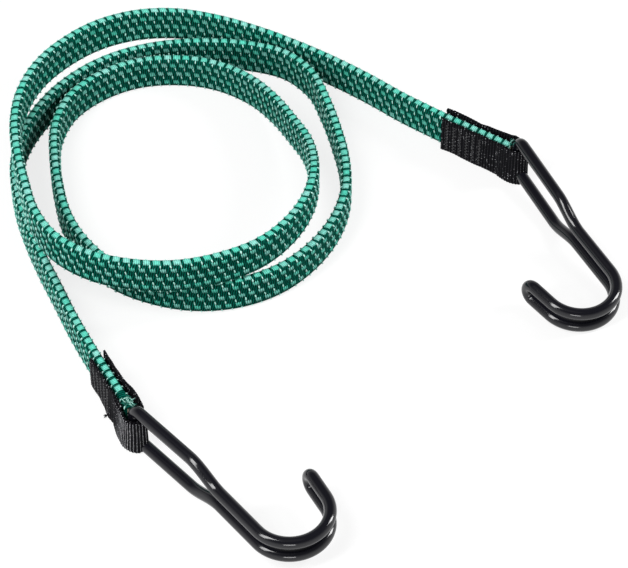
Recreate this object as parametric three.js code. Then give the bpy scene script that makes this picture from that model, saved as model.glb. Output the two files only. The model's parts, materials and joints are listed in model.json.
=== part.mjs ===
// Flat elastic tie-down strap with a double-wire hook at each end, lying in loose loops.
// Millimetres, +Z up, standing on z = 0, with the middle of its outline at x = y = 0.
import * as THREE from 'three';

// The elastic strap: a woven cover round square-cut rubber strands.
const strapWidth = 18;
const strapThickness = 5;
const strapEdgeRadius = 1.6;
const coverWall = 0.9;
const strandCount = 5;
const strandClearance = 0.3;
const strapStations = 118;

// Where the strap crosses itself, the upper stretch stands on the lower one's edge.
const crossingClearance = 0.7;

// The folded webbing tab that holds each hook.
const webbingWidth = 21;
const webbingThickness = 1.5;
const webbingEdgeChamfer = 0.35;
const strapStraightLength = 34;
const flapClearance = 0.3;
const loopSlack = 0.8;
const gatherClearance = 0.8;
const gatherLength = 3.4;
const strapEndClearance = 0.9;

// The hook: one steel wire bent double, dipped in vinyl.
const wireDiameter = 3.5;
const coatingClearance = 0.3;
const coatingDiameter = 5.7;
const eyeSpacing = 19.2;
const eyeCornerRadius = 4.5;
const eyeLegLength = 37;
const neckLength = 20.5;
const shankLength = 25.5;
const shankSpacing = 8.4;
const bendRadius = 17.2;
const tipLength = 15;
const wireEndGap = 1;
const neckTurnDegrees = 3.6;
const bendTurnDegrees = 169.5;

// Where each crossbar stands, the way its tab and its hook point, and how far its two flaps
// reach along the strap. The droop's share is 1 where the bend lies on the ground, and 0
// where the tab holds the hook level.
const rightCrossbar = [96.3, 69.9];
const rightTabDegrees = -34;
const rightHookDegrees = -63.6;
const rightFlapReaches = [41.5, 39.8];
const rightDroopShare = 1;
const leftCrossbar = [-78, -94];
const leftTabDegrees = -62;
const leftHookDegrees = -47.6;
const leftFlapReaches = [36.5, 36.5];
const leftDroopShare = 0;

// How far back along its tab each straight point of the strap lies, from the strap's end,
// as a share of the straight length.
const tabPointShares = [0, 0.36, 0.72, 1.08];

// The strap's route from the right tab to the left one, chosen by hand: x, y and the share
// of the full crossing height that the strap is raised by there.
const route = [
  [51.2, 101.3, 0.05], [40.4, 110.4, 0], [25, 123.1, 0], [8.5, 134.7, 0.02],
  [-9, 144.2, 0.1], [-27.5, 150.8, 0.27], [-47.5, 154, 0.52], [-67.5, 153.4, 0.77],
  [-87, 148.6, 0.94], [-105.3, 140, 1], [-120.8, 127.2, 1], [-132.4, 111.4, 1],
  [-139, 92.5, 1], [-140.5, 72.5, 1], [-138, 52.5, 1], [-133.5, 33, 1],
  [-127.5, 13.5, 1], [-117, -3, 1], [-100.5, -14.5, 1], [-81, -20, 1],
  [-61, -20.5, 1], [-41.5, -15.5, 1], [-23.6, -5.8, 1], [-10.4, 9.1, 0.99],
  [-2.3, 27.8, 0.91], [0, 48, 0.77], [-2.8, 67.5, 0.58], [-10.5, 86.5, 0.38],
  [-19.5, 104.5, 0.2], [-31.2, 120, 0.07], [-47.7, 131.2, 0], [-67, 135.1, 0],
  [-86.8, 132.8, 0], [-104.2, 123.6, 0], [-117.5, 109, 0], [-123.5, 90, 0],
  [-123, 70, 0], [-120, 50, 0], [-115, 30.5, 0], [-106, 13, 0],
  [-92.2, -2.2, 0], [-74, -11.6, 0], [-54.3, -15.8, 0], [-34, -13.6, 0],
  [-15.6, -5, 0], [-0.8, 9.4, 0], [9.6, 27, 0], [14.8, 46.4, 0],
  [14.5, 67, 0], [11, 86.5, 0], [6, 106, 0], [-1, 125, 0],
  [-14, 139, 0], [-32.5, 145.5, 0], [-52.5, 147.5, 0], [-72.5, 146, 0],
  [-91.5, 140.5, 0], [-108.5, 130.5, 0], [-122.5, 116.5, 0], [-133, 99.5, 0],
  [-139.6, 80.5, 0], [-141, 60.5, 0], [-138.3, 40.6, 0], [-132.6, 21.3, 0],
  [-125.3, 2.6, 0], [-117.1, -15.6, 0], [-108.6, -33.8, 0],
];

const crossingHeight = strapWidth + crossingClearance;
const endHeight = (webbingWidth - strapWidth) / 2;
const coatingRadius = coatingDiameter / 2;
const wireRadius = wireDiameter / 2;
const strapEndSetback = coatingRadius + strapEndClearance;
const radians = THREE.MathUtils.degToRad;

const strapGreen = new THREE.MeshStandardMaterial({ color: 0x2fae86, roughness: 0.8, metalness: 0 });
const rubberCream = new THREE.MeshStandardMaterial({ color: 0xc9bfa4, roughness: 0.9, metalness: 0 });
const webbingBlack = new THREE.MeshStandardMaterial({ color: 0x111112, roughness: 0.85, metalness: 0 });
const vinylBlack = new THREE.MeshStandardMaterial({ color: 0x0c0d12, roughness: 0.25, metalness: 0 });
const steelGrey = new THREE.MeshStandardMaterial({ color: 0x9a9da0, roughness: 0.35, metalness: 1 });

// A closed skin over a row of rings. Each ring is an outer outline and, on a tube, an inner one.
function skin(outerRings, innerRings, outerOutline, innerOutline) {
  const positions = [];
  const faces = [];
  const addRings = (rings) => {
    const first = positions.length / 3;
    rings.forEach((ring) => ring.forEach((point) => positions.push(point.x, point.y, point.z)));
    return first;
  };
  const addWall = (first, ringCount, sides, inward) => {
    for (let i = 0; i + 1 < ringCount; i += 1) {
      for (let j = 0; j < sides; j += 1) {
        const a = first + i * sides + j;
        const b = first + i * sides + ((j + 1) % sides);
        const quad = [[a, b, b + sides], [a, b + sides, a + sides]];
        quad.forEach(([p, q, r]) => faces.push(inward ? [p, r, q] : [p, q, r]));
      }
    }
  };
  const outerFirst = addRings(outerRings);
  addWall(outerFirst, outerRings.length, outerOutline.length, false);
  let innerFirst = 0;
  if (innerRings) {
    innerFirst = addRings(innerRings);
    addWall(innerFirst, innerRings.length, innerOutline.length, true);
  }
  const holes = innerRings ? [innerOutline] : [];
  const capFaces = THREE.ShapeUtils.triangulateShape(outerOutline, holes);
  const cap = (ring) => (k) => (k < outerOutline.length
    ? outerFirst + ring * outerOutline.length + k
    : innerFirst + ring * innerOutline.length + k - outerOutline.length);
  const startIndex = cap(0);
  const endIndex = cap(outerRings.length - 1);
  capFaces.forEach(([a, b, c]) => {
    faces.push([startIndex(a), startIndex(c), startIndex(b)]);
    faces.push([endIndex(a), endIndex(b), endIndex(c)]);
  });
  const corner = (k) => new THREE.Vector3().fromArray(positions, 3 * k);
  const volume = faces.reduce((sum, [a, b, c]) => sum + corner(a).dot(corner(b).cross(corner(c))), 0);
  const outward = volume > 0 ? faces : faces.map(([a, b, c]) => [a, c, b]);
  const geometry = new THREE.BufferGeometry();
  geometry.setAttribute('position', new THREE.Float32BufferAttribute(positions, 3));
  geometry.setIndex(outward.flat());
  geometry.computeVertexNormals();
  return geometry;
}

// An upright rounded outline: x runs across the strap and y up it, from its bottom edge.
function roundedOutline(thickness, height, radius) {
  const half = thickness / 2;
  const outline = [];
  [[1, 0, -90], [1, 1, 0], [-1, 1, 90], [-1, 0, 180]].forEach(([side, top, startDegrees]) => {
    const centreX = side * (half - radius);
    const centreY = top ? height - radius : radius;
    for (let k = 0; k < 3; k += 1) {
      const angle = radians(startDegrees + 45 * k);
      const x = centreX + radius * Math.cos(angle);
      outline.push(new THREE.Vector2(x, centreY + radius * Math.sin(angle)));
    }
  });
  return outline;
}

function boxOutline(thickness, low, high) {
  const half = thickness / 2;
  return [[half, low], [half, high], [-half, high], [-half, low]].map(([x, y]) => new THREE.Vector2(x, y));
}

function roundOutline(radius, sides) {
  return Array.from({ length: sides }, (_, k) => {
    const angle = (2 * Math.PI * k) / sides;
    return new THREE.Vector2(radius * Math.cos(angle), radius * Math.sin(angle));
  });
}

// The strap's centre line is taken at its bottom edge, and runs straight inside both tabs.
function tabPoints(crossbar, degrees) {
  const angle = radians(degrees);
  const back = new THREE.Vector2(-Math.cos(angle), -Math.sin(angle));
  return tabPointShares.map((share) => {
    const distance = strapEndSetback + strapStraightLength * share;
    return new THREE.Vector3(crossbar[0] + back.x * distance, crossbar[1] + back.y * distance, endHeight);
  });
}

const strapCurve = new THREE.CatmullRomCurve3([
  ...tabPoints(rightCrossbar, rightTabDegrees),
  ...route.map(([x, y, share]) => new THREE.Vector3(x, y, share * crossingHeight)),
  ...tabPoints(leftCrossbar, leftTabDegrees).reverse(),
]);
strapCurve.arcLengthDivisions = 4000;

const strapFrames = Array.from({ length: strapStations + 1 }, (_, k) => {
  const at = strapCurve.getPointAt(k / strapStations);
  const along = strapCurve.getTangentAt(k / strapStations);
  at.z = Math.max(at.z, 0);
  const across = new THREE.Vector3(along.y, -along.x, 0).normalize();
  return { at, across };
});

function alongStrap(outline) {
  return strapFrames.map(({ at, across }) => outline.map((point) => (
    new THREE.Vector3(at.x + across.x * point.x, at.y + across.y * point.x, at.z + point.y))));
}

// The least gap between stretches of the strap that lie side by side or cross, on points.
function leastGapToItself() {
  const count = 1500;
  const points = strapCurve.getSpacedPoints(count);
  const apart = 12 * strapThickness;
  const step = strapCurve.getLength() / count;
  const skip = Math.ceil(apart / step);
  let least = Infinity;
  for (let i = 0; i < points.length; i += 1) {
    for (let j = i + skip; j < points.length; j += 1) {
      const beside = Math.hypot(points[i].x - points[j].x, points[i].y - points[j].y) - strapThickness;
      const above = Math.abs(points[i].z - points[j].z) - strapWidth;
      least = Math.min(least, Math.hypot(Math.max(beside, 0), Math.max(above, 0)));
    }
  }
  return least;
}

// Half the hook's wire in its own frame: the crossbar stands on z at x = 0, the legs run
// along +x and the bend turns towards +y. The points go from the crossbar to the tip.
function halfHookLine() {
  const plan = [];
  let x = 0;
  let y = 0;
  let heading = 0;
  let run = 0;
  const walk = (length, turn, steps) => {
    for (let k = 0; k < steps; k += 1) {
      heading += turn / steps / 2;
      x += (length / steps) * Math.cos(heading);
      y += (length / steps) * Math.sin(heading);
      run += length / steps;
      heading += turn / steps / 2;
      plan.push({ x, y, run, heading });
    }
  };
  walk(eyeCornerRadius, 0, 1);
  walk(eyeLegLength - eyeCornerRadius, 0, 1);
  walk(neckLength, -radians(neckTurnDegrees), 7);
  walk(shankLength, 0, 1);
  walk(bendRadius * radians(bendTurnDegrees), radians(bendTurnDegrees), 15);
  walk(tipLength - shankSpacing / 2, 0, 1);
  const spread = (length) => {
    const share = THREE.MathUtils.smoothstep(length, eyeLegLength, eyeLegLength + neckLength);
    return THREE.MathUtils.lerp(eyeSpacing, shankSpacing, share) / 2;
  };
  const line = [new THREE.Vector3(0, 0, wireEndGap / 2)];
  const straightBar = eyeSpacing / 2 - eyeCornerRadius;
  for (let k = 0; k <= 4; k += 1) {
    const angle = (Math.PI / 2) * (k / 4);
    const reach = eyeCornerRadius * (1 - Math.cos(angle));
    line.push(new THREE.Vector3(reach, 0, straightBar + eyeCornerRadius * Math.sin(angle)));
  }
  plan.slice(1).forEach((point) => line.push(new THREE.Vector3(point.x, point.y, spread(point.run))));
  return { line, end: plan[plan.length - 1] };
}

function hookLine(side) {
  const { line, end } = halfHookLine();
  const turn = [];
  for (let k = 1; k < 6; k += 1) {
    const angle = (Math.PI * k) / 6;
    const reach = (shankSpacing / 2) * Math.sin(angle);
    const height = (shankSpacing / 2) * Math.cos(angle);
    turn.push(new THREE.Vector3(end.x + reach * Math.cos(end.heading), end.y + reach * Math.sin(end.heading), height));
  }
  const lower = line.map((point) => new THREE.Vector3(point.x, point.y, -point.z)).reverse();
  return [...line, ...turn, ...lower].map((point) => point.setY(side * point.y));
}

// Rings square to a line, carried along it without twist and mitred at each point.
function ringsAlong(line, outline) {
  let sideways = new THREE.Vector3(0, 1, 0);
  return line.map((point, k) => {
    const before = line[Math.max(k - 1, 0)];
    const after = line[Math.min(k + 1, line.length - 1)];
    const back = point.clone().sub(before).normalize();
    const ahead = after.clone().sub(point).normalize();
    const along = back.clone().add(ahead).normalize();
    sideways = sideways.sub(along.clone().multiplyScalar(along.dot(sideways))).normalize();
    const upwards = along.clone().cross(sideways);
    const corner = k > 0 && k + 1 < line.length ? ahead.clone().sub(back) : new THREE.Vector3();
    const stretch = corner.length() > 1e-6 ? 1 / along.dot(ahead) - 1 : 0;
    const cornerWay = corner.lengthSq() > 0 ? corner.normalize() : corner;
    return outline.map((spot) => {
      const arm = sideways.clone().multiplyScalar(spot.x).addScaledVector(upwards, spot.y);
      return arm.addScaledVector(cornerWay, arm.dot(cornerWay) * stretch).add(point);
    });
  });
}

function makeHook(side, crossbar, degrees, droopShare) {
  const line = hookLine(side);
  const outer = roundOutline(coatingRadius, 10);
  const bore = roundOutline(wireRadius + coatingClearance, 6);
  const core = roundOutline(wireRadius, 6);
  const hook = new THREE.Group();
  const coating = new THREE.Mesh(skin(ringsAlong(line, outer), ringsAlong(line, bore), outer, bore), vinylBlack);
  const wire = new THREE.Mesh(skin(ringsAlong(line, core), null, core, null), steelGrey);
  hook.add(coating, wire);
  const lieReach = neckLength + shankLength + bendRadius;
  const droop = droopShare * Math.atan((eyeSpacing - shankSpacing) / 2 / lieReach);
  hook.rotation.set(0, droop, radians(degrees), 'ZYX');
  hook.updateMatrixWorld(true);
  const lowest = new THREE.Box3().setFromObject(hook, true).min.z;
  hook.position.set(crossbar[0], crossbar[1], -lowest);
  return { hook, coating, wire, height: -lowest, droop };
}

// A tab: one strip of webbing folded round the crossbar, gathered where it passes between
// the hook's legs, with a flap on each face of the strap's end.
function makeTab(crossbar, degrees, barHeight, flapReaches) {
  const flapOffset = strapThickness / 2 + flapClearance + webbingThickness / 2;
  const loopRadius = coatingRadius + loopSlack + webbingThickness / 2;
  const gatheredHalf = eyeSpacing / 2 - coatingRadius - gatherClearance;
  const gatherEnd = -coatingRadius - gatherClearance;
  const gatherStart = gatherEnd - gatherLength;
  const arcSteps = 5;
  const halfFold = (flapReach) => {
    const fold = [];
    const addFlapPoint = (x, share) => {
      const offset = THREE.MathUtils.lerp(flapOffset, loopRadius, share);
      fold.push({ x, y: offset, share, normal: [0, 1] });
    };
    addFlapPoint(-flapReach, 0);
    addFlapPoint((gatherStart - flapReach) / 2, 0);
    for (let k = 0; k <= 4; k += 1) {
      addFlapPoint(THREE.MathUtils.lerp(gatherStart, gatherEnd, k / 4), THREE.MathUtils.smoothstep(k / 4, 0, 1));
    }
    for (let k = 0; k <= arcSteps; k += 1) {
      const angle = (Math.PI / 2) * (1 - k / arcSteps);
      const normal = [Math.cos(angle), Math.sin(angle)];
      fold.push({ x: loopRadius * normal[0], y: loopRadius * normal[1], share: 1, normal });
    }
    return fold;
  };
  const mirrored = halfFold(flapReaches[1]).slice(0, -1).reverse().map(({ x, y, share, normal }) => (
    { x, y: -y, share, normal: [normal[0], -normal[1]] }));
  const stations = [...halfFold(flapReaches[0]), ...mirrored];
  const half = webbingThickness / 2;
  const chamfer = webbingEdgeChamfer;
  const outlineAt = (low, high) => [
    [half, low + chamfer], [half, high - chamfer], [half - chamfer, high], [chamfer - half, high],
    [-half, high - chamfer], [-half, low + chamfer], [chamfer - half, low], [half - chamfer, low],
  ];
  const angle = radians(degrees);
  const rings = stations.map(({ x, y, share, normal }) => {
    const low = THREE.MathUtils.lerp(0, barHeight - gatheredHalf, share);
    const high = THREE.MathUtils.lerp(webbingWidth, barHeight + gatheredHalf, share);
    return outlineAt(low, high).map(([across, up]) => (
      new THREE.Vector3(x + normal[0] * across, y + normal[1] * across, up)));
  });
  const capOutline = outlineAt(0, webbingWidth).map(([x, y]) => new THREE.Vector2(x, y));
  const tab = new THREE.Mesh(skin(rings, null, capOutline, null), webbingBlack);
  tab.position.set(crossbar[0], crossbar[1], 0);
  tab.rotation.z = angle;
  return tab;
}

const strap = new THREE.Group();
const coverOutline = roundedOutline(strapThickness, strapWidth, strapEdgeRadius);
const boreOutline = boxOutline(strapThickness - 2 * coverWall, coverWall, strapWidth - coverWall);
const coverSkin = skin(alongStrap(coverOutline), alongStrap(boreOutline), coverOutline, boreOutline);
const cover = new THREE.Mesh(coverSkin, strapGreen);
cover.name = 'strap_cover';
strap.add(cover);

const strandPitch = (strapWidth - 2 * coverWall - strandClearance) / strandCount;
const strandThickness = strapThickness - 2 * coverWall - 2 * strandClearance;
for (let k = 0; k < strandCount; k += 1) {
  const low = coverWall + strandClearance + k * strandPitch;
  const outline = boxOutline(strandThickness, low, low + strandPitch - strandClearance);
  const strand = new THREE.Mesh(skin(alongStrap(outline), null, outline, null), rubberCream);
  strand.name = `rubber_strand_${k + 1}`;
  strap.add(strand);
}

const bungee = new THREE.Group();
bungee.add(strap);
const sides = [{
  name: 'right',
  turn: -1,
  crossbar: rightCrossbar,
  tab: rightTabDegrees,
  hook: rightHookDegrees,
  droopShare: rightDroopShare,
  flapReaches: rightFlapReaches,
}, {
  name: 'left',
  turn: 1,
  crossbar: leftCrossbar,
  tab: leftTabDegrees,
  hook: leftHookDegrees,
  droopShare: leftDroopShare,
  flapReaches: leftFlapReaches,
}];
const bars = sides.map((side) => {
  const made = makeHook(side.turn, side.crossbar, side.hook, side.droopShare);
  made.coating.name = `${side.name}_hook_coating`;
  made.wire.name = `${side.name}_hook_wire`;
  const tab = makeTab(side.crossbar, side.tab, made.height, side.flapReaches);
  tab.name = `${side.name}_webbing_tab`;
  strap.add(tab);
  bungee.add(made.hook);
  return { name: side.name, crossbar: side.crossbar, height: made.height, droop: made.droop };
});

// The finished part stands with the middle of its outline over the origin.
bungee.updateMatrixWorld(true);
const outlineBox = new THREE.Box3().setFromObject(bungee, true);
const middle = outlineBox.getCenter(new THREE.Vector3());
bungee.position.set(-middle.x, -middle.y, -outlineBox.min.z);

const size = outlineBox.getSize(new THREE.Vector3());
console.log(`outline ${size.x.toFixed(1)} x ${size.y.toFixed(1)} x ${size.z.toFixed(1)} mm`);
console.log(`middle ${middle.x.toFixed(3)} ${middle.y.toFixed(3)} lowest ${outlineBox.min.z.toFixed(4)}`);
console.log(`strap length ${strapCurve.getLength().toFixed(0)} mm`);
console.log(`least gap of the strap to itself ${leastGapToItself().toFixed(2)} mm`);
bars.forEach((bar) => console.log(`${bar.name} crossbar height ${bar.height.toFixed(2)} droop ${bar.droop.toFixed(5)}`));

export default bungee;
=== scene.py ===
# A flat bungee cord lying in two loose loops: woven green strap, black webbing tabs, dipped wire hooks.
# Metres, +Z up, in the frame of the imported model.
import json
import math

import bpy
import numpy as np
from mathutils import Matrix, Vector


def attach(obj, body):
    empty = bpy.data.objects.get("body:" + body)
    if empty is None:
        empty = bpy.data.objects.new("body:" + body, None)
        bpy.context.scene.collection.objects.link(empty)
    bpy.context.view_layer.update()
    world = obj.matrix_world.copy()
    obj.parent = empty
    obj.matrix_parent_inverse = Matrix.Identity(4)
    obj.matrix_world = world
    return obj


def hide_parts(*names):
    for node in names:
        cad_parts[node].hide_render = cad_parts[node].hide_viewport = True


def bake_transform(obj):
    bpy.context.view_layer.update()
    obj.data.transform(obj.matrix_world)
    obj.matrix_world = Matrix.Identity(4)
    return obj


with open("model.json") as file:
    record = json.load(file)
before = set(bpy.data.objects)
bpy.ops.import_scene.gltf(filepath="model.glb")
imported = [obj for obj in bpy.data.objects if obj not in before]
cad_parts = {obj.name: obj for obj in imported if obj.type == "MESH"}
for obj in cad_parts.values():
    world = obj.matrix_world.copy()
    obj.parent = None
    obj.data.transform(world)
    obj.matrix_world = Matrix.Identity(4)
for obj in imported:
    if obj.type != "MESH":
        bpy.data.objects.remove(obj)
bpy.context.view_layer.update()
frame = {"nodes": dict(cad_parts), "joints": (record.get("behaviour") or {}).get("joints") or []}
scene = bpy.context.scene
joints = {joint["name"]: joint for joint in frame["joints"]}
mm = 0.001
print("frame loaded")

# how far the model's middle is off the route's own middle
rightCrossbar = (0.0963, 0.0699)  # as the route counts it
routeShift = np.array([*(Vector(joints["right_hook_swing"]["pos_m"][:2]) - Vector(rightCrossbar)), 0])


def addObject(name, data):
    thing = bpy.data.objects.new(name, data)
    scene.collection.objects.link(thing)
    return thing


# camera first: it looks along +Y and down
cameraLook = {
    "aim": tuple(routeShift), "distance": 1.3, "elevationDegrees": 47.0,
    "lens": 161.7, "sensorWidth": 36.0, "clip": (0.05, 50),
}


def makeCamera(look):
    data = bpy.data.cameras.new("productCamera")
    data.lens, data.sensor_width, data.sensor_fit = look["lens"], look["sensorWidth"], "HORIZONTAL"
    data.clip_start, data.clip_end = look["clip"]
    camera = addObject("productCamera", data)
    lift = math.radians(look["elevationDegrees"])
    back = Vector((0, -math.cos(lift), math.sin(lift)))
    camera.location = Vector(look["aim"]) + back * look["distance"]
    camera.rotation_euler = (math.pi / 2 - lift, 0, 0)
    scene.camera = camera


makeCamera(cameraLook)
print("camera placed")

strapLook = {
    "width": 18 * mm, "thickness": 5 * mm, "edgeRadius": 1.6 * mm, "wall": 0.9 * mm,
    "crossingHeight": 18.7 * mm, "endHeight": 1.5 * mm, "endSetback": 3.75 * mm,
    "straightLength": 34 * mm, "tabShares": (0, 0.36, 0.72, 1.08), "ground": 0.05 * mm,
    "ribs": 8, "pitch": 4.55 * mm, "rowShift": -0.375, "sidesPerRib": 5, "stationsPerPitch": 2,
    "valleyDepth": 0.34 * mm, "valleyPower": 2.2, "sleeveInset": 0.12 * mm,
}
tabLook = {
    "width": 21 * mm, "thickness": 1.4 * mm, "flapOffset": 3.55 * mm,
    "loopRadius": 4.4 * mm, "gatheredHalf": 5.95 * mm, "gatherStart": -7.05 * mm, "gatherEnd": -3.65 * mm,
    "ribPitch": 1.5 * mm, "ribDepth": 0.13 * mm,
    "farBowAt": (-9 * mm, 8 * mm), "farBowEase": 3 * mm, "nearBowAt": (-17 * mm, 5.5 * mm),
}
ends = {
    "right": {
        "tabDegrees": -34, "hookDegrees": -63.6, "turn": -1, "joint": "right_hook_swing", "droop": 0.08524,
        "farReach": 41.5 * mm, "nearReach": 39.8 * mm, "farBow": 0.7 * mm, "nearBow": 0.3 * mm,
    },
    "left": {
        "tabDegrees": -62, "hookDegrees": -47.6, "turn": 1, "joint": "left_hook_swing", "droop": 0,
        "farReach": 37.5 * mm, "nearReach": 36.5 * mm, "farBow": 1.7 * mm, "nearBow": 1.4 * mm,
    },
}
# the strap's route: x, y and the share of the crossing height it is raised by
strapRoute = [
    (0.0512, 0.1013, 0.05), (0.0404, 0.1104, 0), (0.025, 0.1231, 0), (0.0085, 0.1347, 0.02),
    (-0.009, 0.1442, 0.1), (-0.0275, 0.1508, 0.27), (-0.0475, 0.154, 0.52), (-0.0675, 0.1534, 0.77),
    (-0.087, 0.1486, 0.94), (-0.1053, 0.14, 1), (-0.1208, 0.1272, 1), (-0.1324, 0.1114, 1),
    (-0.139, 0.0925, 1), (-0.1405, 0.0725, 1), (-0.138, 0.0525, 1), (-0.1335, 0.033, 1),
    (-0.1275, 0.0135, 1), (-0.117, -0.003, 1), (-0.1005, -0.0145, 1), (-0.081, -0.02, 1),
    (-0.061, -0.0205, 1), (-0.0415, -0.0155, 1), (-0.0236, -0.0058, 1), (-0.0104, 0.0091, 0.99),
    (-0.0023, 0.0278, 0.91), (0, 0.048, 0.77), (-0.0028, 0.0675, 0.58), (-0.0105, 0.0865, 0.38),
    (-0.0195, 0.1045, 0.2), (-0.0312, 0.12, 0.07), (-0.0477, 0.1312, 0), (-0.067, 0.1351, 0),
    (-0.0868, 0.1328, 0), (-0.1042, 0.1236, 0), (-0.1175, 0.109, 0), (-0.1235, 0.09, 0),
    (-0.123, 0.07, 0), (-0.12, 0.05, 0), (-0.115, 0.0305, 0), (-0.106, 0.013, 0),
    (-0.0922, -0.0022, 0), (-0.074, -0.0116, 0), (-0.0543, -0.0158, 0), (-0.034, -0.0136, 0),
    (-0.0156, -0.005, 0), (-0.0008, 0.0094, 0), (0.0096, 0.027, 0), (0.0148, 0.0464, 0),
    (0.0145, 0.067, 0), (0.011, 0.0865, 0), (0.006, 0.106, 0), (-0.001, 0.125, 0),
    (-0.014, 0.139, 0), (-0.0325, 0.1455, 0), (-0.0525, 0.1475, 0), (-0.0725, 0.146, 0),
    (-0.0915, 0.1405, 0), (-0.1085, 0.1305, 0), (-0.1225, 0.1165, 0), (-0.133, 0.0995, 0),
    (-0.1396, 0.0805, 0), (-0.141, 0.0605, 0), (-0.1377, 0.0405, 0), (-0.1317, 0.0212, 0),
    (-0.1244, 0.0025, 0), (-0.1164, -0.0157, 0), (-0.1086, -0.0338, 0),
]


def tabPoints(end):
    angle = math.radians(end["tabDegrees"])
    bar = np.array(joints[end["joint"]]["pos_m"])
    bar[2] = strapLook["endHeight"]
    back = np.array([-math.cos(angle), -math.sin(angle), 0])
    straight = strapLook["straightLength"]
    return [bar + back * (strapLook["endSetback"] + straight * share) for share in strapLook["tabShares"]]


def smoothLine(points, stepsPerSpan=48):
    # centripetal spline through the points, the same one as the solid follows
    points = np.asarray(points, float)
    points = np.vstack([2 * points[0] - points[1], points, 2 * points[-1] - points[-2]])
    share = np.arange(stepsPerSpan)[:, None] / stepsPerSpan
    parts = []
    for a, b, c, d in zip(points, points[1:], points[2:], points[3:]):
        gapA, gapB, gapC = (np.linalg.norm(q - p) ** 0.5 for p, q in ((a, b), (b, c), (c, d)))
        leave = ((b - a) / gapA - (c - a) / (gapA + gapB) + (c - b) / gapB) * gapB
        reach = ((c - b) / gapB - (d - b) / (gapB + gapC) + (d - c) / gapC) * gapB
        parts.append(b + leave * share + (3 * (c - b) - 2 * leave - reach) * share ** 2
                     + (2 * (b - c) + leave + reach) * share ** 3)
    return np.vstack([*parts, points[-2][None]])


def strapLine():
    height = strapLook["crossingHeight"]
    middle = [np.array([x, y, share * height]) + routeShift for x, y, share in strapRoute]
    line = smoothLine([*tabPoints(ends["right"]), *middle, *reversed(tabPoints(ends["left"]))])
    line[:, 2] = np.maximum(line[:, 2], 0)
    return line


def runAlong(line):
    return np.concatenate([[0], np.cumsum(np.linalg.norm(np.diff(line, axis=0), axis=1))])


lineDense = strapLine()
lineRun = runAlong(lineDense)
strapLength = lineRun[-1]
lineWay = np.gradient(lineDense, lineRun, axis=0)
lineAcross = np.stack([lineWay[:, 1], -lineWay[:, 0]], 1)
lineAcross /= np.linalg.norm(lineAcross, axis=1)[:, None]
print(f"strap route laid, {strapLength * 1000:.0f} mm long")


def roundedOutline(thickness, height, radius, steps=40):
    # dense outline from the middle of the top, down the outer face: run, x, z and the normal
    flat, side, arc = thickness / 2 - radius, height - 2 * radius, radius * math.pi / 2
    turns = np.linspace(0, math.pi / 2, steps)
    sine, cosine = np.sin(turns), np.cos(turns)
    half = np.stack([np.concatenate([[first], upper, lower, [last]]) for first, upper, lower, last in (
        (0, flat + radius * turns, flat + arc + side + radius * turns, 2 * (flat + arc) + side),
        (0, flat + radius * sine, flat + radius * cosine, 0),
        (height, height - radius + radius * cosine, radius - radius * sine, 0),
        (0, sine, cosine, 0),
        (1, cosine, -sine, -1),
    )], 1)
    other = half[::-1][1:].copy()
    other[:, 0] = 2 * half[-1, 0] - other[:, 0]
    other[:, [1, 3]] *= -1
    return np.vstack([half, other])


strapOutline = roundedOutline(strapLook["thickness"], strapLook["width"], strapLook["edgeRadius"])
ribRun = strapOutline[-1, 0] / strapLook["ribs"]


def onStrap(run, row, lift, outline=strapOutline, rowRun=ribRun):
    # the point at a length along the strap, a row round it, and a height off its outline
    around = np.mod(row * rowRun, outline[-1, 0])
    x, z, normalX, normalZ = (np.interp(around, outline[:, 0], outline[:, k]) for k in (1, 2, 3, 4))
    centre = [np.interp(run, lineRun, lineDense[:, k]) for k in range(3)]
    across = [np.interp(run, lineRun, lineAcross[:, k]) for k in range(2)]
    out = x + normalX * lift
    height = centre[2] + z + normalZ * lift
    points = np.stack([centre[0] + across[0] * out, centre[1] + across[1] * out, height], -1)
    points[..., 2] = np.maximum(points[..., 2], strapLook["ground"])
    return points


def ribLift(offCentre):
    # how far a rib's surface lies below its crest, from -0.5 to 0.5 of a row off its middle
    return -strapLook["valleyDepth"] * np.abs(2 * offCentre) ** strapLook["valleyPower"]


# mesh helpers
def gridFaces(rows, columns, closed=False, flip=False):
    # quads of a grid of points, with each corner's row and column kept for the UV map
    steps = np.meshgrid(np.arange(rows - 1), np.arange(columns - (not closed)), indexing="ij")
    i, j = (part.ravel() for part in steps)
    order = [0, 3, 2, 1] if flip else [0, 1, 2, 3]
    cornerRow = np.stack([i, i + 1, i + 1, i], 1)[:, order]
    cornerColumn = np.stack([j, j, j + 1, j + 1], 1)[:, order]
    return cornerRow * columns + cornerColumn % columns, cornerRow, cornerColumn


def patchFaces(rows, columns):
    # a domed patch: the grid, and a fan from its rim to one point under it, which is the last point
    rim = list(range(columns)) + [i * columns + columns - 1 for i in range(1, rows)]
    rim += [(rows - 1) * columns + j for j in range(columns - 2, -1, -1)]
    rim += [i * columns for i in range(rows - 2, 0, -1)]
    fan = np.array([[rows * columns, b, a] for a, b in zip(rim, rim[1:] + rim[:1])])
    return gridFaces(rows, columns, flip=True)[0], fan


def repeatFaces(faces, count, cells):
    return (faces[None] + (cells * np.arange(count))[:, None, None]).reshape(-1, faces.shape[1])


def makePiece(name, points, faceGroups, material, uv=None, values=None):
    mesh = bpy.data.meshes.new(name)
    points = np.asarray(points, float).reshape(-1, 3)
    groups = [group.tolist() if isinstance(group, np.ndarray) else group for group in faceGroups]
    mesh.from_pydata(points.tolist(), [], [face for group in groups for face in group])
    mesh.update()
    if uv is not None:
        mesh.uv_layers.new(name="weave").data.foreach_set("uv", np.asarray(uv, np.float32).ravel())
    for key, value in (values or {}).items():
        attribute = mesh.attributes.new(key, "FLOAT", "POINT")
        attribute.data.foreach_set("value", np.asarray(value, np.float32).ravel())
    mesh.shade_smooth()
    mesh.materials.append(material)
    return addObject(name, mesh)


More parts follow.
